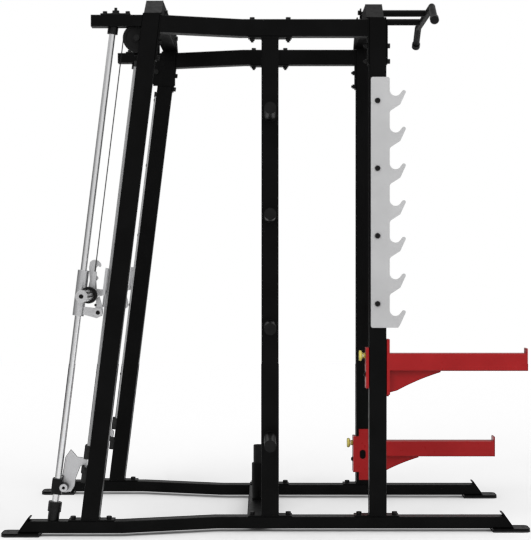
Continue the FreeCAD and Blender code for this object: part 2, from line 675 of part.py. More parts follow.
def lift_hook():
    """A hook fixed on the bar, which swings over a rung of the catch strip when the bar turns."""
    outline = [(-20, 0), (-14, 60), (-24, 118), (-22, 140), (-14, 148), (-5, 152), (12, 150),
               (24, 140), (28, 132), (26, 124), (20, 123), (14, 128), (8, 118), (7, 104), (12, 85),
               (19, 81), (22, 74), (19, 67), (14, 62), (20, 30), (20, 0)]
    y = -HOOK_Y - HOOK_T / 2
    plate = side_plate([(BAR_P + a, BAR_H + b) for a, b in outline], y, y + HOOK_T)
    plate = plate.fuse(cylinder(V(BAR_P, y, BAR_H), ACROSS, 23.0, HOOK_T))
    return lean(plate.cut(cylinder(V(BAR_P, y, BAR_H), ACROSS, BAR_R, HOOK_T)).removeSplitter())


def bar_collar():
    start = V(BAR_P, -COLLAR_Y[1], BAR_H)
    collar = ring(start, ACROSS, COLLAR_R, BAR_R, COLLAR_Y[1] - COLLAR_Y[0])
    rims = [e for e in collar.Edges if abs(e.Length - 2 * math.pi * COLLAR_R) < 1]
    return lean(collar.makeFillet(3.0, rims))


def weight_sleeve():
    length = BAR_HALF - COLLAR_Y[1] - 1.0
    start = V(BAR_P, -BAR_HALF + 0.5, BAR_H)
    return lean(ring(start, ACROSS, WEIGHT_R, BAR_R + RUN, length))


def bar_end_cap():
    start = V(BAR_P, -BAR_HALF, BAR_H)
    cap = ring(start, ACROSS * -1, 23.0, 9.5, BAR_END_T)
    return lean(cap.fuse(cylinder(start, ACROSS * -1, 9.5, BAR_END_T - 2.5)).removeSplitter())


def stop_block():
    """Block that slides on the rod, with the boss that carries the hook's pin."""
    y = -SMITH_Y
    half_p, half_y = STOP_BLOCK_P / 2, STOP_BLOCK_Y / 2
    body = block(-half_p, half_p, y - half_y, y + half_y, STOP_BLOCK_H[0], STOP_BLOCK_H[1])
    posts = [e for e in body.Edges if abs(e.tangentAt(e.FirstParameter).z) > 0.99]
    body = body.makeFillet(4.0, posts)
    boss = cylinder(V(STOP_P, y - half_y, STOP_H), ACROSS, STOP_BOSS_R, 2 * half_y)
    bores = [cylinder(V(0, y, 100), UP, ROD_R + RUN, 200),
             cylinder(V(STOP_P, y - 60, STOP_H), ACROSS, STOP_PIN_R, 120)]
    return lean(body.fuse(boss).cut(bores).removeSplitter())


def stop_pin():
    """Pin through the boss and the hook, with a socket head outside and a collar inside."""
    y = -SMITH_Y
    head_y = y - STOP_BLOCK_Y / 2 - 5.0
    hook_face = -HOOK_Y + HOOK_T / 2 + 0.5
    head = cylinder(V(STOP_P, head_y, STOP_H), ACROSS, 17.0, 5.0)
    shank = cylinder(V(STOP_P, head_y, STOP_H), ACROSS, STOP_PIN_R, hook_face - head_y)
    collar = cylinder(V(STOP_P, hook_face, STOP_H), ACROSS, 13.0, 4.0)
    pin = head.fuse([shank, collar]).removeSplitter()
    return lean(pin.cut(hexagon(V(STOP_P, head_y, STOP_H), ACROSS, 13.0, 4.0)))


def stop_spring():
    """The short coil on top of the block that keeps the hook pressed to the strip."""
    start = V(14, -SMITH_Y + STOP_BLOCK_Y / 2 - 10, STOP_BLOCK_H[1] + 7)
    return lean(ring(start, ACROSS, 7.0, 3.5, 10.0))


def stop_hook():
    """The stop's hook: an arrow-shaped plate whose nose swings behind a rung."""
    outline = [(14, 261), (18, 339), (37, 374), (68, 345), (89, 345.6), (108, 340), (113.4, 331),
               (113.4, 306), (104, 306), (99, 311.5), (86, 310), (79, 282), (71, 252), (70, 218.5),
               (59, 194), (33, 187), (16, 197), (12, 215)]
    y = -HOOK_Y - HOOK_T / 2
    plate = side_plate(outline, y, y + HOOK_T)
    return lean(plate.cut(cylinder(V(STOP_P, y, STOP_H), ACROSS, STOP_PIN_R + RUN, HOOK_T)))


def arm_top(hole):
    """Height of a spotter arm's top when its pin is at the given hole, counted from the lowest."""
    return PIN_FIRST_Z + PIN_PITCH * hole + PIN_DROP


def gusset(y, under):
    """Web under the arm, with a slightly bowed lower edge."""
    def at(x, drop):
        return V(x, y, under - drop)

    root, tip, toe = at(SPOTTER_X0, 0), at(756, 0), at(756, 7.5)
    neck, foot = at(565, 88), at(SPOTTER_X0, 96.5)
    edges = [Part.makeLine(root, tip), Part.makeLine(tip, toe), Part.Arc(toe, at(664, 40.5), neck).toShape(),
             Part.makeLine(neck, foot), Part.makeLine(foot, root)]
    return Part.Face(Part.Wire(edges)).extrude(ACROSS * GUSSET_T)


def spotter_arm(top):
    """Red arm with its end lip and gusset, on a saddle that wraps the rack upright."""
    y, mid = -RACK_Y, top - HALF
    outer_y, side_y = y - HALF, y + HALF + SADDLE_GAP
    arm = tube(V(SPOTTER_X0, y, mid), V(SPOTTER_X1, y, mid), TUBE, TUBE)
    lip = block(SPOTTER_X1, SPOTTER_X1 + LIP_T, outer_y, y + HALF, top - TUBE, top + LIP_RISE)
    front = block(SADDLE_FRONT[0], SADDLE_FRONT[1], outer_y, side_y + SADDLE_T, top - 179.5, top + 61.5)
    cheek = block(SADDLE_STEP_X, SADDLE_FRONT[1], side_y, side_y + SADDLE_T, top - 191.5, top + 61.5)
    wrap = block(SADDLE_REAR[0], SADDLE_FRONT[0], side_y, side_y + SADDLE_T, top - 152, top + 25)
    rear = block(SADDLE_REAR[0], SADDLE_REAR[1], outer_y, side_y + SADDLE_T, top - 152, top + 25)
    barrel = cylinder(V(BARREL_X, y, top - PIN_DROP), ALONG, BARREL_R, SADDLE_REAR[0] - BARREL_X)
    window = block(SADDLE_STEP_X + 4, SADDLE_STEP_X + 4 + WINDOW_W, side_y - 1, side_y + SADDLE_T + 1,
                   top - 64.5 - WINDOW_H / 2, top - 64.5 + WINDOW_H / 2)
    ends = [e for e in window.Edges if abs(e.tangentAt(e.FirstParameter).y) > 0.99]
    pin_bore = cylinder(V(400, y, top - PIN_DROP), ALONG, PIN_R + RUN, 60)
    body = arm.fuse([lip, front, cheek, wrap, rear, barrel, gusset(y - GUSSET_T / 2, top - TUBE)])
    return body.cut([window.makeFillet(14.0, ends), pin_bore]).removeSplitter()


def pop_pin(top):
    """The spotter arm's lock pin, with its tip just clear of the upright."""
    start = V(KNOB_X + 4, -RACK_Y, top - PIN_DROP)
    return cylinder(start, ALONG, PIN_R, PIN_TIP_X - start.x)


def pop_pin_knob(top):
    """Round knob on the pin, with a hollow neck that the barrel enters when it is pushed in."""
    start = V(KNOB_X, -RACK_Y, top - PIN_DROP)
    head = cylinder(start, ALONG, KNOB_R, 12.0)
    head = head.makeFillet(3.5, head.Edges[:1] + head.Edges[2:])
    knob = head.fuse(cylinder(start + ALONG * 12, ALONG, 14.5, 4.0))
    bores = [cylinder(start + ALONG * 4, ALONG, PIN_R, 40),
             cylinder(start + ALONG * 5.5, ALONG, BARREL_R + 0.5, 40)]
    return knob.cut(bores).removeSplitter()


def pull_up_bar():
    """Straight bar whose ends bend down."""
    points = [V(PULL_X, -PULL_END_Y, PULL_END_Z), V(PULL_X, -PULL_STRAIGHT, PULL_Z),
              V(PULL_X, PULL_STRAIGHT, PULL_Z), V(PULL_X, PULL_END_Y, PULL_END_Z)]
    runs = []
    for start, end in zip(points, points[1:]):
        runs.append(cylinder(start, (end - start).normalize(), PULL_R, (end - start).Length))
    runs += [Part.makeSphere(PULL_R, p) for p in points[1:3]]
    return runs[0].fuse(runs[1:]).removeSplitter()


def pull_up_cap():
    end = V(PULL_X, -PULL_END_Y, PULL_END_Z)
    out = (end - V(PULL_X, -PULL_STRAIGHT, PULL_Z)).normalize()
    cap = cylinder(end - out * 22, out, 20.0, 26.0)
    return cap.cut(cylinder(end - out * 40, out, PULL_R, 40.0))


def clamp_plate(x):
    """One of the two plates that grip the rack's arch at a pull-up arm's root."""
    half = 27.0
    plate = block(x, x + FLANGE_T, -PULL_ARM_Y - half, -PULL_ARM_Y + half, *PULL_PLATE_Z)
    corners = [e for e in plate.Edges if abs(e.tangentAt(e.FirstParameter).x) > 0.99]
    return plate.makeFillet(8.0, corners)


def pull_up_arm():
    """Round arm to the pull-up bar, held on the rack's arch by two plates and a stud over it."""
    front, rear = RACK_ARCH_X + HALF, RACK_ARCH_X - HALF - FLANGE_T
    start = V(front + 1, -PULL_ARM_Y, PULL_ARM_Z)
    arm = cylinder(start, ALONG, PULL_ARM_R, PULL_X - start.x)
    stud = cylinder(V(rear - 1, -PULL_ARM_Y, PULL_STUD_Z), ALONG, BOLT_R, start.x - rear + 2)
    nut = hexagon(V(rear, -PULL_ARM_Y, PULL_STUD_Z), ALONG * -1, HEAD_FLATS, NUT_T + 0.5)
    bar = cylinder(V(PULL_X, -PULL_STRAIGHT, PULL_Z), ACROSS, PULL_R, 2 * PULL_STRAIGHT)
    return clamp_plate(front).fuse([clamp_plate(rear), arm, stud, nut]).cut(bar).removeSplitter()


def holder():
    foot = V(HOLDER_X, 0, BASE_TOP)
    outer = ring(foot, UP, HOLDER_OUTER_R, HOLDER_INNER_R, HOLDER_OUTER_TOP - BASE_TOP)
    inner = ring(foot, UP, HOLDER_INNER_R, HOLDER_BORE_R, HOLDER_INNER_TOP - BASE_TOP)
    return outer, inner


def floor_crossmember():
    bar = rounded_bar(V(HOLDER_X, -RACK_Y + HALF, BASE_Z + FLAT / 2),
                      V(HOLDER_X, RACK_Y - HALF, BASE_Z + FLAT / 2), CROSS_X1 - CROSS_X0, FLAT, TUBE_R)
    bore = rounded_bar(V(HOLDER_X, -RACK_Y, BASE_Z + FLAT / 2), V(HOLDER_X, RACK_Y, BASE_Z + FLAT / 2),
                       CROSS_X1 - CROSS_X0 - 2 * WALL, FLAT - 2 * WALL, TUBE_R - WALL)
    return bar.cut(bore)


def upright_feet():
    """The flanges under every upright, and on top of the middle ones."""
    places = ((SMITH_FLANGE, -SMITH_Y, BASE_TOP), (MID_FLANGE, -RACK_Y, BASE_TOP),
              (RACK_FLANGE, -RACK_Y, BASE_TOP), (MID_FLANGE, -RACK_Y, RAIL_Z0 - FLANGE_T))
    return [flange(x_range, y, z0) for x_range, y, z0 in places]


def write(name, shapes):
    shapes = shapes if isinstance(shapes, list) else [shapes]
    solids = [solid for shape in shapes for solid in shape.Solids]
    body = solids[0] if len(solids) == 1 else Part.makeCompound(solids)
    body.exportStep(os.path.join("parts", name + ".step"))
    print(name, len(solids), round(sum(solid.Volume for solid in solids) / 1000, 1))


def write_pair(name, left):
    """Writes a left part and its mirror image under the names of the two sides."""
    write(name + "_left", left)
    write(name + "_right", mirrored(left))


def write_frame():
    """The standing frame, drilled for its bolts."""
    bolts, holes = frame_bolts()
    leaning, leaning_holes = leaning_bolts()
    left_holes = holes + leaning_holes
    rail, feet, pads = base_parts()
    write("base_rails", both_sides(rail.cut(left_holes)))
    write("foot_plates", both_sides(feet))
    write("foot_pads", both_sides(pads))
    write("floor_crossmember", floor_crossmember())
    outer, inner = holder()
    write("bar_holder_outer", outer)
    write("bar_holder_inner", inner)
    write_pair("smith_upright", smith_upright().cut(left_holes))
    write("mid_uprights", both_sides(mid_upright()))
    write("rack_uprights", both_sides(rack_upright().cut(left_holes)))
    all_holes = left_holes + [mirrored(hole) for hole in left_holes]
    write("smith_crossmember", arch(SMITH_ARCH_X, SMITH_Y + HALF, SMITH_SLOPE).cut(all_holes))
    write("rack_crossmember", arch(RACK_ARCH_X, RACK_Y + HALF, RACK_SLOPE).cut(all_holes))
    write("top_rails", both_sides(top_rail().cut(left_holes)))
    write("joint_plates", both_sides([plate.cut(left_holes) for plate in joint_plates()]))
    write("upright_feet", both_sides([foot.cut(left_holes) for foot in upright_feet()]))
    write("frame_bolts", both_sides(bolts + leaning))
    write_pair("gun_rack", gun_rack().cut(holes))
    write_pair("catch_strip", catch_strip().cut(leaning_holes))
    write("catch_strip_ends", both_sides(catch_strip_ends()))


def write_fittings():
    """Rods, counterbalance supports and the fittings that are fixed on the frame."""
    horns, caps = storage_horns()
    write("storage_horns", both_sides(horns))
    write("storage_horn_caps", both_sides(caps))
    write("guide_rods", both_sides(guide_rod()))
    write("rod_arms", both_sides(rod_arm()))
    write("rod_sockets", both_sides(rod_sockets()))
    write("pulley_brackets", both_sides(pulley_bracket()))
    write("pulley_axles", both_sides(pulley_axle()))
    write("cable_wraps", both_sides(cable_wrap()))
    write("cable_fronts", both_sides(cable_run(CABLE_P, LUG_TOP)))
    write("cable_rears", both_sides(cable_run(WEIGHT_P, WEIGHT_TOP + ANCHOR_L)))
    write("pull_up_bar", pull_up_bar())
    write("pull_up_arms", both_sides(pull_up_arm()))
    write("pull_up_caps", both_sides(pull_up_cap()))


def write_moving():
    """The parts that slide or turn."""
    write_pair("pulley", pulley())
    write_pair("counterweight", counterweight())
    write("carriages", both_sides(carriage()))
    write("linear_bushes", both_sides(linear_bushes()))
    write("bar_shaft", bar_shaft())
    write("lift_hooks", both_sides(lift_hook()))
    write("bar_collars", both_sides(bar_collar()))
    write("bar_end_caps", both_sides(bar_end_cap()))
    write_pair("weight_sleeve", weight_sleeve())
    write_pair("stop_block", stop_block())
    write_pair("stop_pin", stop_pin())
    write_pair("stop_spring", stop_spring())
    write_pair("stop_hook", stop_hook())
    left_top, right_top = arm_top(LEFT_HOLE), arm_top(RIGHT_HOLE)
    write("spotter_arm_left", spotter_arm(left_top))
    write("spotter_arm_right", mirrored(spotter_arm(right_top)))
    write("pop_pin_left", pop_pin(left_top))
    write("pop_pin_right", mirrored(pop_pin(right_top)))
    write("pop_pin_knob_left", pop_pin_knob(left_top))
    write("pop_pin_knob_right", mirrored(pop_pin_knob(right_top)))


os.makedirs("parts", exist_ok=True)
write_frame()
write_fittings()
write_moving()
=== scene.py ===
import bpy
import json
import math
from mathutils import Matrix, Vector

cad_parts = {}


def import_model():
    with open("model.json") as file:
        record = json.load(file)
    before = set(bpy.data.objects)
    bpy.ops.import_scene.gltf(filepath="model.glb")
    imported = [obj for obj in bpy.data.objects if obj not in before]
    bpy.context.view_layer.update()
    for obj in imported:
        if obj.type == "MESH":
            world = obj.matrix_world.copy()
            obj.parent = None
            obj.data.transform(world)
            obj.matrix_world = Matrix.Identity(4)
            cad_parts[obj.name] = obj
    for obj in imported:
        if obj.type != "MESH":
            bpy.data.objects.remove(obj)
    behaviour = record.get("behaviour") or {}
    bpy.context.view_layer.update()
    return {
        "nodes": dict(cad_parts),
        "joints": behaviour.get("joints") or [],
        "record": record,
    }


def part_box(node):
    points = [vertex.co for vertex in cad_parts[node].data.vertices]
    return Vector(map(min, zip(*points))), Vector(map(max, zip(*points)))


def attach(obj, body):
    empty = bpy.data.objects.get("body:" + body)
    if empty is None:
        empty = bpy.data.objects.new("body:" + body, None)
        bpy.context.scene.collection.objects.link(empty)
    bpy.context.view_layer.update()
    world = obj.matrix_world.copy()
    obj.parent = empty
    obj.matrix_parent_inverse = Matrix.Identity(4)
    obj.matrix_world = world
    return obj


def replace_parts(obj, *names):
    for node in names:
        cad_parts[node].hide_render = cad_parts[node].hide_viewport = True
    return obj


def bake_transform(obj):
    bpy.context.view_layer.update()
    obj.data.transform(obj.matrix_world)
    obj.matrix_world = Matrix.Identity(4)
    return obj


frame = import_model()

MM = 0.001
UP = Vector((0, 0, 1))
ACROSS = Vector((0, 1, 0))
SIDES = (("left", -1), ("right", 1))
JOINTS = {joint["name"]: joint for joint in frame["joints"]}
RATIOS = {c["joint"]: c["ratio"] for c in frame["record"]["behaviour"]["couplings"]}


# ---- Materials -------------------------------------------------------------------------------

def range_node(tree, source, values):
    """A map range node fed by source. values gives its other sockets by name."""
    node = tree.nodes.new("ShaderNodeMapRange")
    for socket, value in values.items():
        node.inputs[socket].default_value = value
    tree.links.new(source, node.inputs["Value"])
    return node


class Finish:
    """A material under construction: a Principled shader with textures in the piece's own frame."""

    def __init__(self, name, metallic=0.0, **constants):
        self.material = bpy.data.materials.new(name)
        self.material.use_nodes = True
        self.tree = self.material.node_tree
        self.shader = self.tree.nodes["Principled BSDF"]
        self.place = self.tree.nodes.new("ShaderNodeTexCoord").outputs["Object"]
        self.shader.inputs["Metallic"].default_value = metallic
        for socket, value in constants.items():
            self.shader.inputs[socket.replace("_", " ")].default_value = value

    def noise(self, scale, detail=3.0, stretch=(1, 1, 1)):
        mapping = self.tree.nodes.new("ShaderNodeMapping")
        mapping.inputs["Scale"].default_value = stretch
        texture = self.tree.nodes.new("ShaderNodeTexNoise")
        texture.inputs["Scale"].default_value = scale
        texture.inputs["Detail"].default_value = detail
        self.tree.links.new(self.place, mapping.inputs["Vector"])
        self.tree.links.new(mapping.outputs["Vector"], texture.inputs["Vector"])
        return texture.outputs["Fac"]

    def cells(self, scale):
        texture = self.tree.nodes.new("ShaderNodeTexVoronoi")
        texture.inputs["Scale"].default_value = scale
        self.tree.links.new(self.place, texture.inputs["Vector"])
        return texture.outputs["Distance"]

    def ramp(self, source, stops):
        """Colours along a texture: stops are (position, colour)."""
        ramp = self.tree.nodes.new("ShaderNodeValToRGB")
        elements = ramp.color_ramp.elements
        while len(elements) < len(stops):
            elements.new(0.5)
        for element, (position, colour) in zip(elements, stops):
            element.position = position
            element.color = (*colour, 1.0)
        self.tree.links.new(source, ramp.inputs["Fac"])
        return ramp.outputs["Color"]

    def colour(self, source, stops):
        self.tree.links.new(self.ramp(source, stops), self.shader.inputs["Base Color"])
        return self

    def roughness(self, source, low, high):
        values = {"From Min": 0.3, "From Max": 0.7, "To Min": low, "To Max": high}
        spread = range_node(self.tree, source, values)
        self.tree.links.new(spread.outputs["Result"], self.shader.inputs["Roughness"])
        return self

    def bump(self, source, depth, strength=1.0):
        """Relief of the given depth in metres. A second call adds to the first."""
        bump = self.tree.nodes.new("ShaderNodeBump")
        bump.inputs["Strength"].default_value = strength
        bump.inputs["Distance"].default_value = depth
        self.tree.links.new(source, bump.inputs["Height"])
        normal = self.shader.inputs["Normal"]
        if normal.is_linked:
            self.tree.links.new(normal.links[0].from_socket, bump.inputs["Normal"])
        self.tree.links.new(bump.outputs["Normal"], normal)
        return self


def grey(value, tint=0.0):
    return (value, value, value * (1 + tint))


def powder_coat(name, dark, light, rough=(0.34, 0.5), specular=0.3):
    """Baked powder paint: a fine orange peel, faint cloudiness and a slight sheen."""
    finish = Finish(name, Specular_IOR_Level=specular)
    finish.colour(finish.noise(7.0, 5.0), [(0.35, dark), (0.65, light)])
    finish.roughness(finish.noise(45.0), *rough)
    finish.bump(finish.noise(650.0, 2.0), 0.00012, 0.5)
    return finish.bump(finish.noise(90.0, 2.0), 0.00015, 0.25).material


def moulded_plastic(name, dark, light, rough, grain=900.0, specular=0.4):
    finish = Finish(name, Specular_IOR_Level=specular)
    finish.colour(finish.noise(20.0), [(0.35, dark), (0.65, light)])
    finish.roughness(finish.noise(60.0), *rough)
    return finish.bump(finish.cells(grain), 0.00008, 0.5).material


def rubber(name):
    finish = Finish(name, Specular_IOR_Level=0.25)
    finish.colour(finish.noise(35.0), [(0.3, grey(0.009)), (0.7, grey(0.017))])
    finish.roughness(finish.noise(80.0), 0.62, 0.85)
    return finish.bump(finish.cells(420.0), 0.00025, 0.7).material


def ground_steel(name, dark, light, rough, stretch, scale=60.0, relief=0.3):
    """Bare or plated steel whose grinding lines run along one way."""
    finish = Finish(name, metallic=1.0)
    lines = finish.noise(scale, 4.0, stretch)
    finish.colour(lines, [(0.3, dark), (0.7, light)])
    finish.roughness(finish.noise(scale, 3.0, stretch), *rough)
    return finish.bump(lines, 0.00002, relief).material


def knurled_chrome(name):
    """Hard chrome on a bar, with a crossed knurl pressed into it."""
    finish = Finish(name, metallic=1.0)
    lines = finish.noise(50.0, 4.0, (9, 0.5, 9))
    finish.colour(lines, [(0.3, grey(0.5)), (0.7, grey(0.66, 0.02))])
    finish.roughness(finish.noise(30.0), 0.16, 0.3)
    return finish.bump(finish.cells(700.0), 0.0002, 0.8).material


def cast_iron(name):
    finish = Finish(name, metallic=0.3, Specular_IOR_Level=0.3)
    finish.colour(finish.noise(25.0), [(0.3, grey(0.012)), (0.7, grey(0.026))])
    finish.roughness(finish.noise(70.0), 0.55, 0.8)
    return finish.bump(finish.noise(220.0, 5.0), 0.0006, 0.8).material


COAT = powder_coat("black_powder_coat", grey(0.0010), grey(0.0019, 0.04), (0.3, 0.44), 0.055)
BLOCK = powder_coat("satin_black_paint", grey(0.002), grey(0.004), (0.3, 0.42), 0.12)
PLATE = powder_coat("light_grey_paint", grey(0.33, 0.01), grey(0.36, 0.01), (0.36, 0.46), 0.2)
STRIP = powder_coat("mid_grey_paint", grey(0.24, 0.01), grey(0.28, 0.01), (0.4, 0.52))
RED = powder_coat("red_powder_coat", (0.225, 0.006, 0.007), (0.255, 0.008, 0.009),
                  (0.26, 0.38), 0.14)
PLASTIC = moulded_plastic("black_plastic", grey(0.002), grey(0.004), (0.38, 0.52), 900.0, 0.12)
YELLOW = moulded_plastic("yellow_plastic", (0.45, 0.385, 0.07), (0.54, 0.47, 0.11), (0.25, 0.38))
RUBBER = rubber("black_rubber")
CHROME = ground_steel("hard_chrome", grey(0.56), grey(0.70, 0.02), (0.1, 0.2),
                      (14, 14, 0.4), 60.0, 0.06)
KNURL = knurled_chrome("knurled_chrome")
SATIN = ground_steel("satin_zinc", grey(0.40), grey(0.54, 0.03), (0.3, 0.46), (3, 3, 12))
FASTENER = ground_steel("black_oxide", grey(0.009), grey(0.028), (0.34, 0.52), (8, 8, 8), 40.0)
ROPE = ground_steel("steel_rope", grey(0.010), grey(0.03), (0.4, 0.55), (1, 1, 1), 300.0)
IRON = cast_iron("painted_cast_iron")

SLOT_MATERIALS = {
    "black_steel": COAT, "grey_plate": PLATE, "strip_plate": STRIP, "black_rubber": RUBBER,
    "black_plastic": PLASTIC, "dark_fastener": FASTENER, "chromed_steel": CHROME,
    "wire_rope": ROPE, "weight_iron": IRON, "satin_steel": SATIN, "black_block": BLOCK,
    "red_steel": RED, "yellow_plastic": YELLOW,
}
NODE_MATERIALS = {"bar_shaft": KNURL}


# ---- CAD nodes: finishes and broken edges ------------------------------------------------------

# Width of the broken edges in millimetres, by material slot
EDGE = {"black_steel": 1.1, "grey_plate": 0.9, "strip_plate": 0.6, "satin_steel": 0.6,
        "red_steel": 1.2, "black_block": 0.9, "yellow_plastic": 0.9, "weight_iron": 1.5}
EDGE_OTHER = 0.4
SHARP = math.radians(32)
WELD_GAP = 0.01 * MM       # mesh corners closer than this are one corner


def break_edges(piece, width):
    """Welds the imported mesh and rounds its sharp edges slightly, as paint and tumbling do."""
    weld = piece.modifiers.new("weld", "WELD")
    weld.merge_threshold = WELD_GAP
    bevel = piece.modifiers.new("edges", "BEVEL")
    bevel.width = width * MM
    bevel.segments = 2
    bevel.limit_method = "ANGLE"
    bevel.angle_limit = SHARP
    bevel.use_clamp_overlap = True
    normals = piece.modifiers.new("normals", "WEIGHTED_NORMAL")
    normals.keep_sharp = True
    normals.weight = 60


def finish_nodes():
    slots = {part["node"]: part["material_slot"] for part in frame["record"]["subparts"]}
    for name, piece in frame["nodes"].items():
        material = NODE_MATERIALS.get(name, SLOT_MATERIALS[slots[name]])
        piece.data.materials.clear()
        piece.data.materials.append(material)
        if "custom_normal" in piece.data.attributes:
            piece.data.attributes.remove(piece.data.attributes["custom_normal"])
        for polygon in piece.data.polygons:
            polygon.material_index = 0
            polygon.use_smooth = True
        break_edges(piece, EDGE.get(slots[name], EDGE_OTHER))


# ---- Mesh building -----------------------------------------------------------------------------

def mesh_piece(name, points, faces, material, slot):
    mesh = bpy.data.meshes.new(name)
    mesh.from_pydata([tuple(p) for p in points], [], faces)
    mesh.polygons.foreach_set("use_smooth", [True] * len(mesh.polygons))
    mesh.materials.append(material)
    mesh.update()
    piece = bpy.data.objects.new(name, mesh)
    bpy.context.scene.collection.objects.link(piece)
    return piece


def sweep(path, section, side, closed=False):
    """Points and faces of a tube along path. section(i) gives its outline at each point, as pairs
    along the direction side(i) and along the one square to it."""
    points, faces = [], []
    count = len(path)
    for i, centre in enumerate(path):
        before = path[(i - 1) % count] if closed or i > 0 else centre
        after = path[(i + 1) % count] if closed or i < count - 1 else centre
        along = (after - before).normalized()
        first = (side(i) - along * side(i).dot(along)).normalized()
        second = along.cross(first)
        points += [centre + first * a + second * b for a, b in section(i)]
    n = len(points) // count
    for i in range(count if closed else count - 1):
        j = (i + 1) % count
        for k in range(n):
            m = (k + 1) % n
            faces.append((i * n + k, i * n + m, j * n + m, j * n + k))
    if not closed:
        faces += [tuple(range(n - 1, -1, -1)), tuple(range((count - 1) * n, count * n))]
    return points, faces


def circle(radius, count):
    turns = [2 * math.pi * k / count for k in range(count)]
    return [(radius * math.cos(t), radius * math.sin(t)) for t in turns]


def lathe(centre, axis, profile, count=48):
    """Points and faces of a closed profile of (distance along, radius) turned about an axis."""
    first = axis.orthogonal().normalized()
    second = axis.cross(first)
    points, faces = [], []
    for k in range(count):
        turn = 2 * math.pi * k / count
        out = first * math.cos(turn) + second * math.sin(turn)
        points += [centre + axis * along + out * radius for along, radius in profile]
    n = len(profile)
    for k in range(count):
        j = (k + 1) % count
        for i in range(n):
            m = (i + 1) % n
            faces.append((k * n + i, k * n + m, j * n + m, j * n + i))
    return points, faces


# ---- Cables ------------------------------------------------------------------------------------

ROPE_R = 2.45 * MM
STRANDS = 6
GROOVE = 0.14              # depth between strands, as a share of the radius
LAY = 32 * MM              # length of one turn of the strands
ROPE_STEP = 2.0 * MM
ROUND = 24                 # points round the rope


def rope(name, path):
    """A rope of twisted strands along a path whose points are ROPE_STEP apart."""
    def section(i):
        twist = 2 * math.pi * i * ROPE_STEP / LAY
        outline = []
        for k in range(ROUND):
            turn = 2 * math.pi * k / ROUND
            radius = ROPE_R * (1 - GROOVE + GROOVE * abs(math.cos(STRANDS * turn / 2)))
            outline.append((radius * math.cos(turn + twist), radius * math.sin(turn + twist)))
        return outline
    return mesh_piece(name, *sweep(path, section, lambda i: ACROSS), ROPE, "wire_rope")


def straight(start, end):
    steps = max(2, round((end - start).length / ROPE_STEP))
    return [start.lerp(end, i / steps) for i in range(steps + 1)]


def cable_foot(node, top, up):
    """The point on the line down from top where the node's lowest end lies."""
    low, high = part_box(node)
    return top - up * ((high.z - low.z - ROPE_R * abs(up.x)) / up.z)


def cables():
    """Each cable: a straight run up from the carriage, half a turn over its pulley, and a run
    down inside the leaning upright to its counterweight."""
    up = Vector(JOINTS["carriage_slide"]["axis"]).normalized()
    behind = Vector((up.z, 0, -up.x))
    for label, _ in SIDES:
        turn_name = "pulley_%s_turn" % label
        centre = Vector(JOINTS[turn_name]["pos_m"])
        radius = 1 / RATIOS[turn_name]
        front_top = centre - behind * radius
        rear_top = centre + behind * radius
        front = straight(cable_foot("cable_fronts", front_top, up), front_top)
        rear = straight(cable_foot("cable_rears", rear_top, up), rear_top)
        steps = round(math.pi * radius / ROPE_STEP)
        arc = [math.pi * i / steps for i in range(steps + 1)]
        over = [centre + (up * math.sin(a) - behind * math.cos(a)) * radius for a in arc]
        wrap = rope("rope_over_pulley_" + label, over)
        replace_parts(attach(wrap, "frame"), "cable_wraps")
        run = rope("rope_front_" + label, front)
        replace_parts(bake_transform(run), "cable_fronts")
        run = rope("rope_rear_" + label, rear)
        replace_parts(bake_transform(run), "cable_rears")


# ---- Springs, bolts and welds --------------------------------------------------------------------

SPRING_WIRE_R = 0.9 * MM
SPRING_TURNS = 5
SPRING_STEPS = 24          # points in one turn


def stop_springs():
    """A wound torsion coil in place of each plain sleeve on the safety stops."""
    steps = SPRING_TURNS * SPRING_STEPS
    for label, _ in SIDES:
        node = "stop_spring_" + label
        low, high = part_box(node)
        centre = (low + high) / 2
        radius = (high.x - low.x) / 2 - SPRING_WIRE_R
        length = high.y - low.y - 2 * SPRING_WIRE_R
        path, inward = [], []
        for i in range(steps + 1):
            turn = 2 * math.pi * i / SPRING_STEPS
            along = low.y + SPRING_WIRE_R + length * i / steps
            out = Vector((math.cos(turn), 0, math.sin(turn))) * radius
            path.append(Vector((centre.x, along, centre.z)) + out)
            inward.append(-out)
        coil = sweep(path, lambda i: circle(SPRING_WIRE_R, 10), lambda i: inward[i])
        piece = mesh_piece("coil_" + label, *coil, FASTENER, "dark_fastener")
        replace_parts(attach(piece, "stop_" + label), node)


def turned(name, centre, axis, profile, material, slot, body):
    """A turned piece from a profile of (distance along axis, radius) in millimetres."""
    outline = [(along * MM, radius * MM) for along, radius in profile]
    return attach(mesh_piece(name, *lathe(centre, axis, outline), material, slot), body)


def domed_head(radius, height, washer=0.0):
    """Profile of a domed screw with a round socket, and a thin washer under it if asked for."""
    if washer:
        under = [(0, 0.1), (0, washer), (1.6, washer), (2, washer - 0.4), (2, radius)]
    else:
        under = [(0, 0.1), (0, radius)]
    dome = [(height * 0.6, radius * 0.97), (height * 0.88, radius * 0.78), (height, radius * 0.5)]
    socket = [(height, radius * 0.42), (height * 0.7, radius * 0.38), (height * 0.7, 0.1)]
    return under + dome + socket


# Profiles of (distance along, radius) in millimetres
SADDLE_BOLT = domed_head(9, 8, 13)
HUB_SCREW = domed_head(9.3, 4.6)
CHEEK_SCREW = domed_head(5.5, 4.0)
BARREL_LINER = [(0.2, 11.55), (0.2, 11.9), (9.6, 11.9), (10.0, 11.75), (10.0, 11.55)]
BAR_PLUG = [(0, 0.1), (0, 9.3), (1.4, 9.3), (2.0, 8.6), (2.0, 4.2), (1.2, 3.8), (1.2, 0.1)]
SOCKET_LINER = [(0, 0.1), (0, 6.3), (2.6, 6.3), (2.6, 6.0), (0.4, 5.8), (0.4, 0.1)]

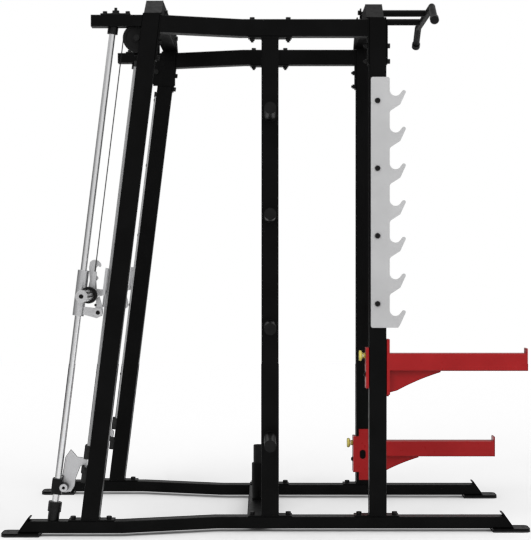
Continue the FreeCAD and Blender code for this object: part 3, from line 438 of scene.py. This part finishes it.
PIN_TIP = 13.5 * MM        # pop pin's tip beyond its barrel's rear face
SADDLE_DROP = 81.5 * MM    # from the pop pin's axis down to the saddle bolt
CAP_LENGTH = 3.5 * MM      # bar's end cap beyond the shaft
HUB = (42.7 * MM, 71.4 * MM)     # behind and below the bar's axis
HUB_IN = 6.0 * MM          # in from the carriage's outer face
CHEEK = (27.0 * MM, 41.0 * MM)
CHEEK_IN = 19.0 * MM
SOCKET_DEPTH = 4.0 * MM


def spotter_fittings(label):
    """The saddle bolt, and the liner round the mouth of the pop pin's barrel."""
    low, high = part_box("pop_pin_" + label)
    rear = Vector((high.x - PIN_TIP, (low.y + high.y) / 2, (low.z + high.z) / 2))
    back = Vector((-1, 0, 0))
    body = "spotter_" + label
    turned("saddle_bolt_" + label, rear - UP * SADDLE_DROP, back, SADDLE_BOLT,
           FASTENER, "dark_fastener", body)
    turned("barrel_liner_" + label, rear, back, BARREL_LINER, YELLOW, "yellow_plastic", body)


def bar_fittings(label, sign):
    """The plug in the bar's end, and the screws in the carriage's hub and cheek."""
    out = ACROSS * sign
    bar = Vector(JOINTS["bar_turn"]["pos_m"])
    up = Vector(JOINTS["carriage_slide"]["axis"]).normalized()
    behind = Vector((up.z, 0, -up.x))
    shaft_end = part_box("bar_shaft")[1].y
    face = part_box("carriages")[1].y
    end = Vector((bar.x, sign * (shaft_end + CAP_LENGTH), bar.z))
    turned("bar_plug_" + label, end, out, BAR_PLUG, PLASTIC, "black_plastic", "smith_bar")
    hub = bar + behind * HUB[0] - up * HUB[1]
    hub.y = sign * (face - HUB_IN)
    turned("hub_screw_" + label, hub, out, HUB_SCREW, FASTENER, "dark_fastener", "carriage")
    cheek = bar + behind * CHEEK[0] - up * CHEEK[1]
    cheek.y = sign * (face - CHEEK_IN)
    turned("cheek_screw_" + label, cheek, out, CHEEK_SCREW, FASTENER, "dark_fastener", "carriage")


def stop_fittings(label, sign):
    """The liner in the socket of the stop's pin."""
    low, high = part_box("stop_pin_" + label)
    head = low.y if sign < 0 else high.y
    centre = Vector(JOINTS["stop_hook_%s_turn" % label]["pos_m"])
    centre.y = head - sign * SOCKET_DEPTH
    turned("socket_liner_" + label, centre, ACROSS * sign, SOCKET_LINER,
           PLASTIC, "black_plastic", "stop_" + label)


def small_fittings():
    """Screws, plugs and liners too small for the CAD model, each on its own body."""
    for label, sign in SIDES:
        spotter_fittings(label)
        bar_fittings(label, sign)
        stop_fittings(label, sign)


BEAD = 3.2 * MM            # radius of a weld
BEAD_STEP = 1.6 * MM
RIPPLE = 5.0 * MM          # length of one ripple of a weld
RIPPLE_DEPTH = 0.14        # as a share of the radius
TUBE_CORNER = 5 * MM


def square_loop(centre, half_x, half_y, corner):
    """Points round a rounded rectangle in a level plane, BEAD_STEP apart."""
    rough = []
    for turn, (sx, sy) in enumerate(((1, 1), (-1, 1), (-1, -1), (1, -1))):
        middle = centre + Vector((sx * (half_x - corner), sy * (half_y - corner), 0))
        for k in range(7):
            angle = math.pi / 2 * (turn + k / 6)
            rough.append(middle + Vector((math.cos(angle), math.sin(angle), 0)) * corner)
    points = []
    for start, end in zip(rough, rough[1:] + rough[:1]):
        steps = max(1, round((end - start).length / BEAD_STEP))
        points += [start.lerp(end, i / steps) for i in range(steps)]
    return points


def weld_bead(name, centre, half_x, half_y):
    """A rippled weld round a tube's end."""
    path = square_loop(centre, half_x, half_y, TUBE_CORNER)

    def section(i):
        wave = (i * BEAD_STEP % RIPPLE) / RIPPLE
        return circle(BEAD * (1 - RIPPLE_DEPTH + RIPPLE_DEPTH * math.sin(math.pi * wave)), 10)
    piece = mesh_piece(name, *sweep(path, section, lambda i: UP, True), COAT, "black_steel")
    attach(piece, "frame")


def upright_welds():
    """Beads where the uprights meet their flanges."""
    boxes = (("mid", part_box("mid_uprights")), ("rack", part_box("rack_uprights")))
    up = Vector(JOINTS["carriage_slide"]["axis"]).normalized()
    for label, sign in SIDES:
        for name, (low, high) in boxes:
            half = (high.x - low.x) / 2
            foot = Vector(((low.x + high.x) / 2, sign * (high.y - half), low.z))
            weld_bead("weld_%s_foot_%s" % (name, label), foot, half, half)
        low, high = boxes[0][1]
        half = (high.x - low.x) / 2
        head = Vector(((low.x + high.x) / 2, sign * (high.y - half), high.z))
        weld_bead("weld_mid_head_" + label, head, half, half)
        low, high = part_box("smith_upright_" + label)
        half_y = (high.y - low.y) / 2
        half_x = half_y / up.z
        foot = Vector((low.x + half_x, (low.y + high.y) / 2, low.z))
        weld_bead("weld_smith_foot_" + label, foot, half_x, half_y)


# ---- Stage ---------------------------------------------------------------------------------------

VIEW_X, VIEW_Z = -0.013, 1.176
DISTANCE = 8.2             # from the camera to the middle of the machine
LENS = 116.3
SHIFT_X, SHIFT_Y = 0.001, -0.0143


def camera():
    data = bpy.data.cameras.new("camera")
    data.lens = LENS
    data.sensor_width = 36
    data.shift_x = SHIFT_X
    data.shift_y = SHIFT_Y
    eye = bpy.data.objects.new("camera", data)
    eye.location = (VIEW_X, -DISTANCE, VIEW_Z)
    eye.rotation_euler = (math.pi / 2, 0, 0)
    bpy.context.scene.collection.objects.link(eye)
    bpy.context.scene.camera = eye


def area_light(name, place, target, size, power, seen):
    """A soft box. It shows in polished parts only if it is to be seen."""
    data = bpy.data.lights.new(name, "AREA")
    data.shape = "RECTANGLE"
    data.size, data.size_y = size
    data.energy = power
    light = bpy.data.objects.new(name, data)
    light.location = place
    light.visible_glossy = seen
    light.rotation_euler = (Vector(target) - Vector(place)).to_track_quat("-Z", "Y").to_euler()
    bpy.context.scene.collection.objects.link(light)


def lights():
    area_light("key", (-4.0, -6.5, 5.5), (0, 0, 1.1), (4.5, 4.5), 270, False)
    area_light("fill", (5.0, -5.5, 3.8), (0, 0, 1.1), (4.5, 4.5), 150, False)
    area_light("top", (0.0, -1.5, 6.5), (0, 0, 1.2), (7.0, 7.0), 130, True)


def math_node(tree, operation, first, second):
    """The result of an operation on a socket and a second socket or number."""
    node = tree.nodes.new("ShaderNodeMath")
    node.operation = operation
    tree.links.new(first, node.inputs[0])
    if isinstance(second, float):
        node.inputs[1].default_value = second
    else:
        tree.links.new(second, node.inputs[1])
    return node.outputs["Value"]


def sky_slope(tree, axis, low, high, steepness):
    """A brightness that goes from low at one end of the sky to high at the other."""
    spread = range_node(tree, axis, {"From Min": -1.0, "To Min": low, "To Max": high})
    return math_node(tree, "POWER", spread.outputs["Result"], steepness)


def world():
    """White to the camera. For light and reflections, a sky that is bright in front of the machine,
    dark behind it near eye level, bright higher up, and a little brighter on the rack's side."""
    made = bpy.data.worlds.new("studio")
    made.use_nodes = True
    tree = made.node_tree
    place = tree.nodes.new("ShaderNodeTexCoord")
    split = tree.nodes.new("ShaderNodeSeparateXYZ")
    tree.links.new(place.outputs["Generated"], split.inputs["Vector"])
    depth = sky_slope(tree, split.outputs["Y"], 1.0, 0.1, 1.6)
    side = sky_slope(tree, split.outputs["X"], 0.7, 1.25, 1.0)
    band = range_node(tree, split.outputs["Z"], {"From Min": 0.13, "From Max": 0.24, "To Max": 0.8})
    band.interpolation_type = "SMOOTHSTEP"
    slopes = math_node(tree, "MULTIPLY", depth, side)
    strength = math_node(tree, "MAXIMUM", slopes, band.outputs["Result"])
    sky = tree.nodes["Background"]
    sky.inputs["Color"].default_value = (1, 1, 1, 1)
    tree.links.new(strength, sky.inputs["Strength"])
    white = tree.nodes.new("ShaderNodeBackground")
    white.inputs["Color"].default_value = (1, 1, 1, 1)
    white.inputs["Strength"].default_value = 1.0
    ray = tree.nodes.new("ShaderNodeLightPath")
    mix = tree.nodes.new("ShaderNodeMixShader")
    tree.links.new(ray.outputs["Is Camera Ray"], mix.inputs["Fac"])
    tree.links.new(sky.outputs["Background"], mix.inputs[1])
    tree.links.new(white.outputs["Background"], mix.inputs[2])
    tree.links.new(mix.outputs["Shader"], tree.nodes["World Output"].inputs["Surface"])
    bpy.context.scene.world = made


FLOOR_SIZE = 12.0
FLOOR_DROP = 0.5 * MM      # below the pads


def floor():
    """A wide pale sheet just under the pads, which shows only the shadows on the white."""
    corners = [(x * FLOOR_SIZE, y * FLOOR_SIZE, -FLOOR_DROP)
               for x, y in ((-1, -1), (1, -1), (1, 1), (-1, 1))]
    mesh = bpy.data.meshes.new("floor")
    mesh.from_pydata(corners, [], [(0, 1, 2, 3)])
    pale = Finish("pale_floor", Specular_IOR_Level=0.1)
    pale.colour(pale.noise(3.0), [(0.3, grey(0.84)), (0.7, grey(0.88))])
    pale.roughness(pale.noise(20.0), 0.7, 0.85)
    mesh.materials.append(pale.material)
    sheet = bpy.data.objects.new("floor", mesh)
    bpy.context.scene.collection.objects.link(sheet)
    sheet.is_shadow_catcher = True


finish_nodes()
cables()
stop_springs()
small_fittings()
upright_welds()
camera()
lights()
world()
floor()
bpy.context.scene.view_settings.view_transform = "Standard"

bpy.context.view_layer.update()
